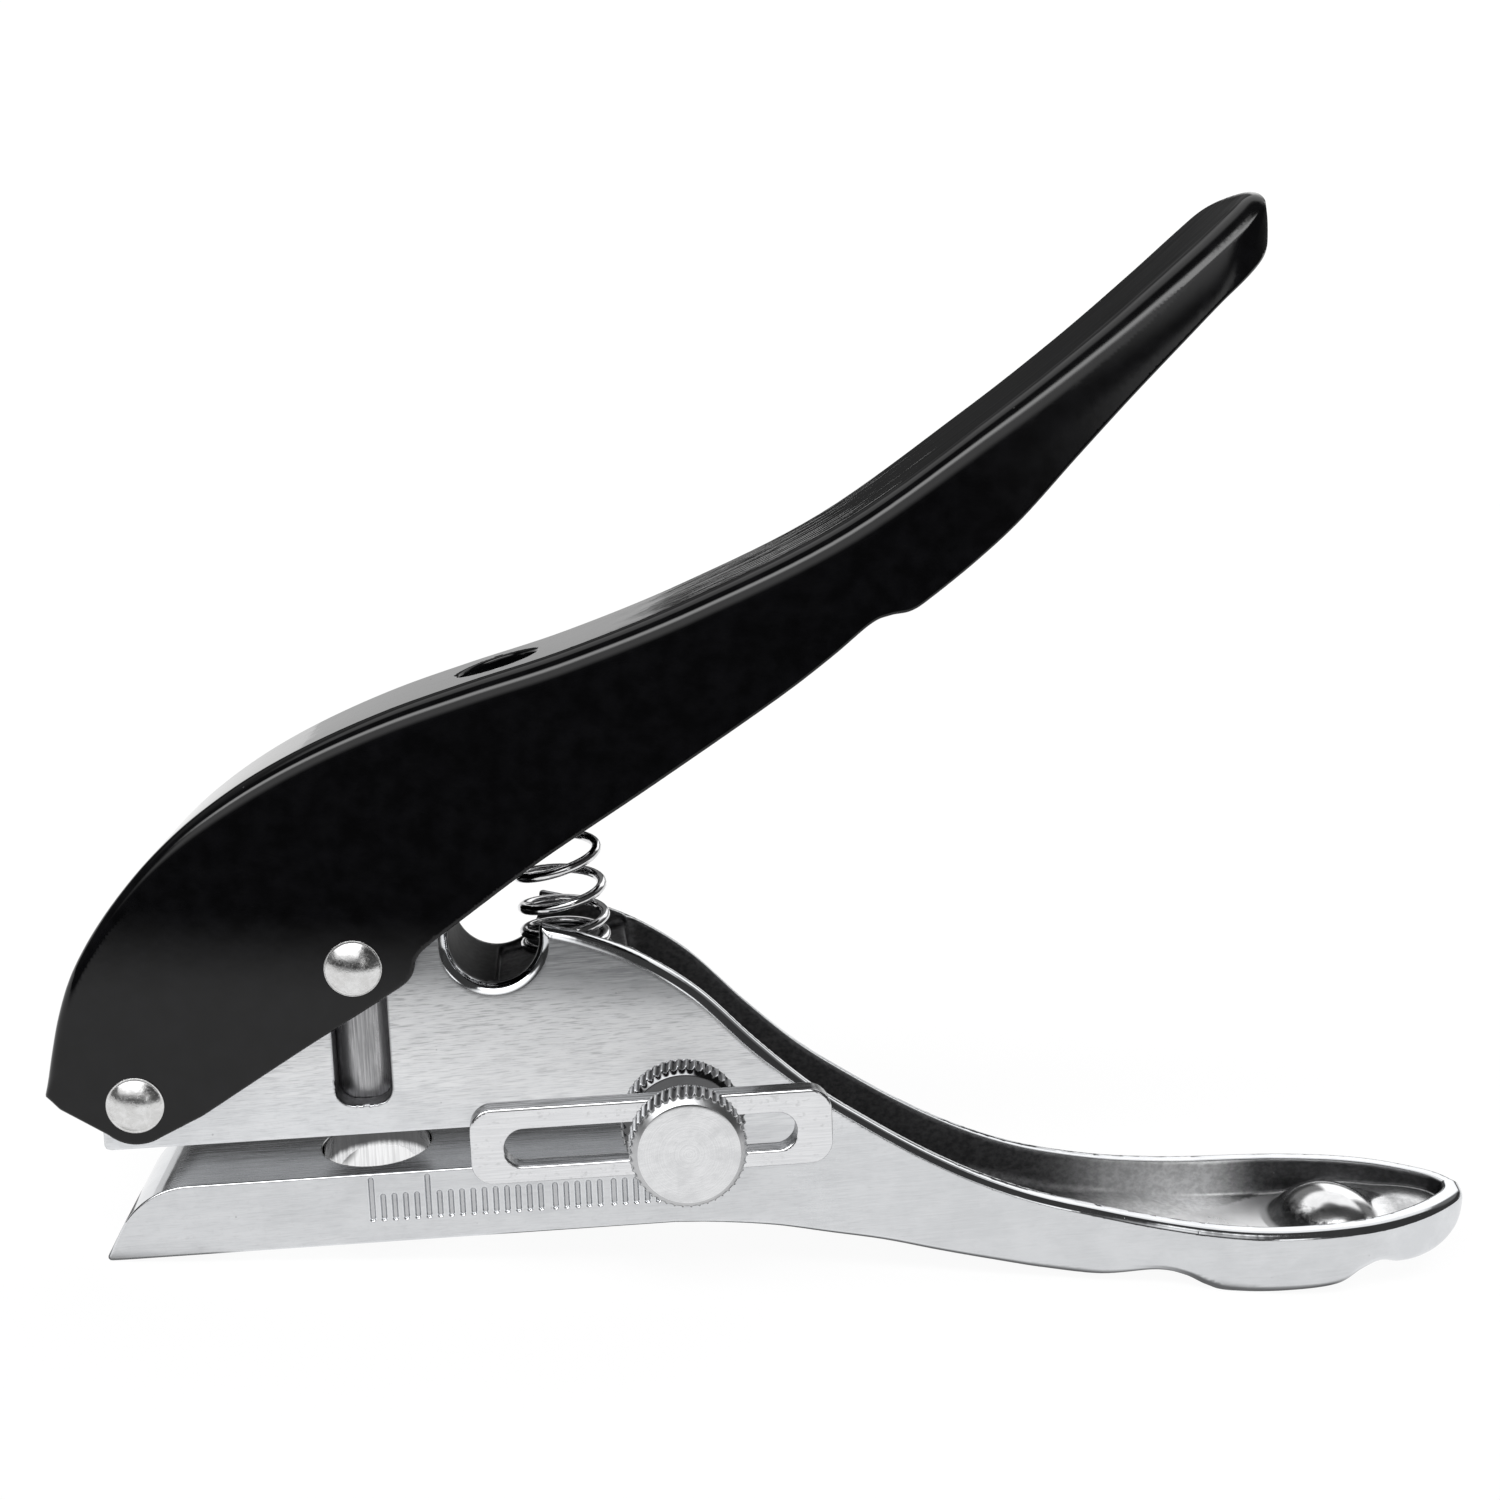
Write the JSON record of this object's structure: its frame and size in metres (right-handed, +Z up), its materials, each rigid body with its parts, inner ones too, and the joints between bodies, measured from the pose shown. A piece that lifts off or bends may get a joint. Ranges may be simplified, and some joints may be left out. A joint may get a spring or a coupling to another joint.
{
  "type": "single hole punch pliers",
  "caption": "Hand-held single hole punch: plated cast jaw and hollow handle, black pressed lever driving a round punch, return spring and a sliding edge stop with a knurled knob.",
  "frame": {"origin": "middle of the assembly's box, on the surface that the tool stands on by its jaw's nose and the pad under its handle", "axes": "+X from the jaw's nose to the handle's end, -Y the side with the scale and the stop, +Z up"},
  "size_m": [0.1322, 0.0242, 0.0982],
  "materials": {
    "plated_casting": "bright plated casting, brushed on the flat sides",
    "black_paint": "gloss black stoved paint",
    "tool_steel": "turned steel",
    "rivet_steel": "nickel plated, softly polished",
    "spring_wire": "bright wire",
    "knurled_nickel": "nickel plated with a knurled edge",
    "plated_sheet": "bright plated sheet"
  },
  "bodies": {
    "base": {"base_frame": "plated_casting", "stop_stud": "tool_steel", "return_spring": "spring_wire"},
    "plunger": {"punch": "tool_steel", "drive_sleeve": "tool_steel"},
    "lever": {"lever_shell": "black_paint", "drive_rivet": "rivet_steel", "pivot_rivet": "rivet_steel", "pivot_sleeve": "tool_steel"},
    "stop": {"stop_plate": "plated_sheet"},
    "knob": {"thumb_knob": "knurled_nickel"},
    "nut": {"backing_nut": "knurled_nickel"}
  },
  "joints": [
    {"name": "punch_slide", "type": "slide", "parent": "base", "child": "plunger", "axis": [0.0953, 0, -0.9954], "range_m": [0, 0.0081]},
    {"name": "lever_swing", "type": "hinge", "parent": "plunger", "child": "lever", "pos_m": [-0.03997, 0.00295, 0.02825], "axis": [0, 1, 0], "range_deg": [0, 21.7], "stiffness_Nm_per_rad": 1.5, "springref_deg": -14.32, "deforming": ["return_spring"]},
    {"name": "stop_slide", "type": "slide", "parent": "base", "child": "stop", "axis": [0.9954, 0, 0.0953], "range_m": [-0.008, 0.014]},
    {"name": "knob_turn", "type": "hinge", "parent": "base", "child": "knob", "pos_m": [-0.01069, -0.01055, 0.01513], "axis": [0, -1, 0], "continuous": true},
    {"name": "nut_turn", "type": "hinge", "parent": "base", "child": "nut", "pos_m": [-0.01069, -0.00535, 0.01513], "axis": [0, -1, 0], "continuous": true}
  ],
  "couplings": [
    {"joint": "punch_slide", "follows": "lever_swing", "m_per_rad": 0.021123}
  ]
}
